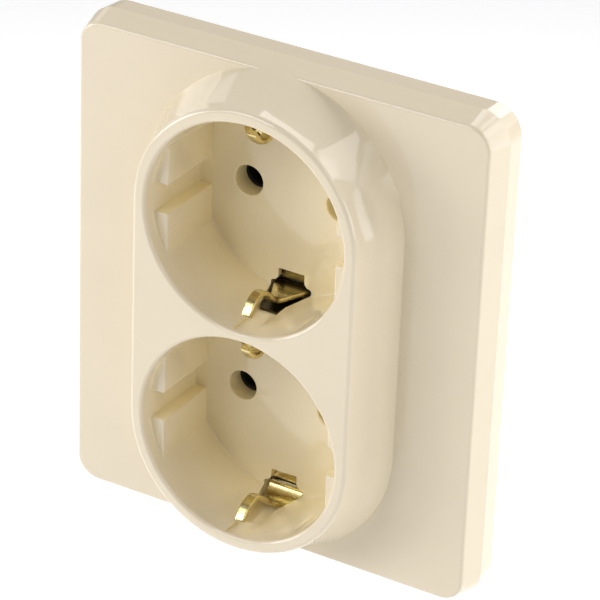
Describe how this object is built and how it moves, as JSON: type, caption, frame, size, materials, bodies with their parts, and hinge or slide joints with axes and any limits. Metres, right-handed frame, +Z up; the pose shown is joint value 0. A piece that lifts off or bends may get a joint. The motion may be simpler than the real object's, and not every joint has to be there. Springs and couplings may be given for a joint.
{
  "type": "wall socket outlet",
  "caption": "Ivory wall outlet: a rectangular cover with two round earthed socket wells over a strap-mounted insert with clamp terminals.",
  "frame": {"origin": "the middle of the cover, in the plane of the wall", "axes": "+Z up the wall, +Y into the wall, +X to the right as seen from the room"},
  "size_m": [0.0852, 0.0435, 0.0966],
  "materials": {
    "ivory_moulding": "glossy ivory moulding, lightly yellowed",
    "dark_moulding": "matt black moulding",
    "brass_sheet": "stamped sheet with fine rolling lines",
    "zinc_steel": "bright zinc plating",
    "yellow_steel": "yellow passivated zinc plating"
  },
  "bodies": {
    "socket": {"front_cover": "ivory_moulding", "mounting_strap": "zinc_steel", "base_housing": "dark_moulding", "rear_cover": "dark_moulding", "earth_bridge": "brass_sheet", "line_bus": "brass_sheet", "neutral_bus": "brass_sheet", "housing_rivet_upper": "brass_sheet", "housing_rivet_lower": "brass_sheet", "earth_rivet_upper": "brass_sheet", "earth_rivet_lower": "brass_sheet", "claw_pin_left": "zinc_steel", "claw_pin_right": "zinc_steel"},
    "cover_screw_upper": {"cover_screw_upper": "yellow_steel"},
    "cover_screw_lower": {"cover_screw_lower": "yellow_steel"},
    "claw_screw_left": {"claw_screw_left": "zinc_steel"},
    "claw_left": {"claw_left": "zinc_steel"},
    "claw_screw_right": {"claw_screw_right": "zinc_steel"},
    "claw_right": {"claw_right": "zinc_steel"},
    "line_clamp": {"line_clamp": "zinc_steel"},
    "line_terminal_screw": {"line_terminal_screw": "zinc_steel"},
    "neutral_clamp": {"neutral_clamp": "zinc_steel"},
    "neutral_terminal_screw": {"neutral_terminal_screw": "zinc_steel"},
    "earth_clamp": {"earth_clamp": "zinc_steel"},
    "earth_terminal_screw": {"earth_terminal_screw": "zinc_steel"},
    "earth_clip_upper_outer": {"earth_clip_upper_outer": "brass_sheet"},
    "earth_clip_upper_inner": {"earth_clip_upper_inner": "brass_sheet"},
    "earth_clip_lower_outer": {"earth_clip_lower_outer": "brass_sheet"},
    "earth_clip_lower_inner": {"earth_clip_lower_inner": "brass_sheet"},
    "line_leaf_upper_inner": {"line_leaf_upper_inner": "brass_sheet"},
    "line_leaf_upper_outer": {"line_leaf_upper_outer": "brass_sheet"},
    "line_leaf_lower_inner": {"line_leaf_lower_inner": "brass_sheet"},
    "line_leaf_lower_outer": {"line_leaf_lower_outer": "brass_sheet"},
    "neutral_leaf_upper_inner": {"neutral_leaf_upper_inner": "brass_sheet"},
    "neutral_leaf_upper_outer": {"neutral_leaf_upper_outer": "brass_sheet"},
    "neutral_leaf_lower_inner": {"neutral_leaf_lower_inner": "brass_sheet"},
    "neutral_leaf_lower_outer": {"neutral_leaf_lower_outer": "brass_sheet"}
  },
  "joints": [
    {"name": "cover_screw_upper_turn", "type": "hinge", "parent": "socket", "child": "cover_screw_upper", "pos_m": [-0.0073, -0.00315, 0.032], "axis": [0, 1, 0], "range_deg": [-1440, 0]},
    {"name": "cover_screw_lower_turn", "type": "hinge", "parent": "socket", "child": "cover_screw_lower", "pos_m": [-0.0073, -0.00315, -0.01], "axis": [0, 1, 0], "range_deg": [-1440, 0]},
    {"name": "claw_screw_left_turn", "type": "hinge", "parent": "socket", "child": "claw_screw_left", "pos_m": [-0.0265, -0.00085, 0], "axis": [0, 1, 0], "range_deg": [0, 1440]},
    {"name": "claw_left_spread", "type": "hinge", "parent": "socket", "child": "claw_left", "pos_m": [-0.0302, 0.003, 0], "axis": [0, 0, 1], "range_deg": [0, 15]},
    {"name": "claw_screw_right_turn", "type": "hinge", "parent": "socket", "child": "claw_screw_right", "pos_m": [0.0265, -0.00085, 0], "axis": [0, 1, 0], "range_deg": [0, 1440]},
    {"name": "claw_right_spread", "type": "hinge", "parent": "socket", "child": "claw_right", "pos_m": [0.0302, 0.003, 0], "axis": [0, 0, -1], "range_deg": [0, 15]},
    {"name": "line_clamp_slide", "type": "slide", "parent": "socket", "child": "line_clamp", "axis": [1, 0, 0], "range_m": [0, 0.0018]},
    {"name": "line_terminal_screw_turn", "type": "hinge", "parent": "line_clamp", "child": "line_terminal_screw", "pos_m": [-0.0154, 0.0095, 0], "axis": [1, 0, 0], "range_deg": [0, 1080]},
    {"name": "neutral_clamp_slide", "type": "slide", "parent": "socket", "child": "neutral_clamp", "axis": [-1, 0, 0], "range_m": [0, 0.0018]},
    {"name": "neutral_terminal_screw_turn", "type": "hinge", "parent": "neutral_clamp", "child": "neutral_terminal_screw", "pos_m": [0.0154, 0.0095, 0], "axis": [-1, 0, 0], "range_deg": [0, 1080]},
    {"name": "earth_clamp_slide", "type": "slide", "parent": "socket", "child": "earth_clamp", "axis": [0, 0, 1], "range_m": [0, 0.0018]},
    {"name": "earth_terminal_screw_turn", "type": "hinge", "parent": "earth_clamp", "child": "earth_terminal_screw", "pos_m": [0, 0.0085, -0.0232], "axis": [0, 0, 1], "range_deg": [0, 1080]},
    {"name": "earth_clip_upper_outer_flex", "type": "hinge", "parent": "socket", "child": "earth_clip_upper_outer", "pos_m": [0, -0.0019, 0.0396], "axis": [-1, 0, 0], "range_deg": [0, 5], "stiffness_Nm_per_rad": 1.2},
    {"name": "earth_clip_upper_inner_flex", "type": "hinge", "parent": "socket", "child": "earth_clip_upper_inner", "pos_m": [0, -0.0019, 0.0024], "axis": [1, 0, 0], "range_deg": [0, 5], "stiffness_Nm_per_rad": 1.2},
    {"name": "earth_clip_lower_outer_flex", "type": "hinge", "parent": "socket", "child": "earth_clip_lower_outer", "pos_m": [0, -0.0019, -0.0396], "axis": [1, 0, 0], "range_deg": [0, 5], "stiffness_Nm_per_rad": 1.2},
    {"name": "earth_clip_lower_inner_flex", "type": "hinge", "parent": "socket", "child": "earth_clip_lower_inner", "pos_m": [0, -0.0019, -0.0024], "axis": [-1, 0, 0], "range_deg": [0, 5], "stiffness_Nm_per_rad": 1.2},
    {"name": "line_leaf_upper_inner_flex", "type": "hinge", "parent": "socket", "child": "line_leaf_upper_inner", "pos_m": [-0.0065, 0.0161, 0.021], "axis": [0, 0, 1], "range_deg": [0, 3], "stiffness_Nm_per_rad": 0.6},
    {"name": "line_leaf_upper_outer_flex", "type": "hinge", "parent": "socket", "child": "line_leaf_upper_outer", "pos_m": [-0.0125, 0.0161, 0.021], "axis": [0, 0, -1], "range_deg": [0, 3], "stiffness_Nm_per_rad": 0.6},
    {"name": "line_leaf_lower_inner_flex", "type": "hinge", "parent": "socket", "child": "line_leaf_lower_inner", "pos_m": [-0.0065, 0.0161, -0.021], "axis": [0, 0, 1], "range_deg": [0, 3], "stiffness_Nm_per_rad": 0.6},
    {"name": "line_leaf_lower_outer_flex", "type": "hinge", "parent": "socket", "child": "line_leaf_lower_outer", "pos_m": [-0.0125, 0.0161, -0.021], "axis": [0, 0, -1], "range_deg": [0, 3], "stiffness_Nm_per_rad": 0.6},
    {"name": "neutral_leaf_upper_inner_flex", "type": "hinge", "parent": "socket", "child": "neutral_leaf_upper_inner", "pos_m": [0.0065, 0.0161, 0.021], "axis": [0, 0, -1], "range_deg": [0, 3], "stiffness_Nm_per_rad": 0.6},
    {"name": "neutral_leaf_upper_outer_flex", "type": "hinge", "parent": "socket", "child": "neutral_leaf_upper_outer", "pos_m": [0.0125, 0.0161, 0.021], "axis": [0, 0, 1], "range_deg": [0, 3], "stiffness_Nm_per_rad": 0.6},
    {"name": "neutral_leaf_lower_inner_flex", "type": "hinge", "parent": "socket", "child": "neutral_leaf_lower_inner", "pos_m": [0.0065, 0.0161, -0.021], "axis": [0, 0, -1], "range_deg": [0, 3], "stiffness_Nm_per_rad": 0.6},
    {"name": "neutral_leaf_lower_outer_flex", "type": "hinge", "parent": "socket", "child": "neutral_leaf_lower_outer", "pos_m": [0.0125, 0.0161, -0.021], "axis": [0, 0, 1], "range_deg": [0, 3], "stiffness_Nm_per_rad": 0.6}
  ],
  "couplings": [
    {"joint": "claw_left_spread", "follows": "claw_screw_left_turn", "ratio": 0.010417},
    {"joint": "claw_right_spread", "follows": "claw_screw_right_turn", "ratio": 0.010417},
    {"joint": "line_terminal_screw_turn", "follows": "line_clamp_slide", "rad_per_m": 10472},
    {"joint": "neutral_terminal_screw_turn", "follows": "neutral_clamp_slide", "rad_per_m": 10472},
    {"joint": "earth_terminal_screw_turn", "follows": "earth_clamp_slide", "rad_per_m": 10472}
  ]
}
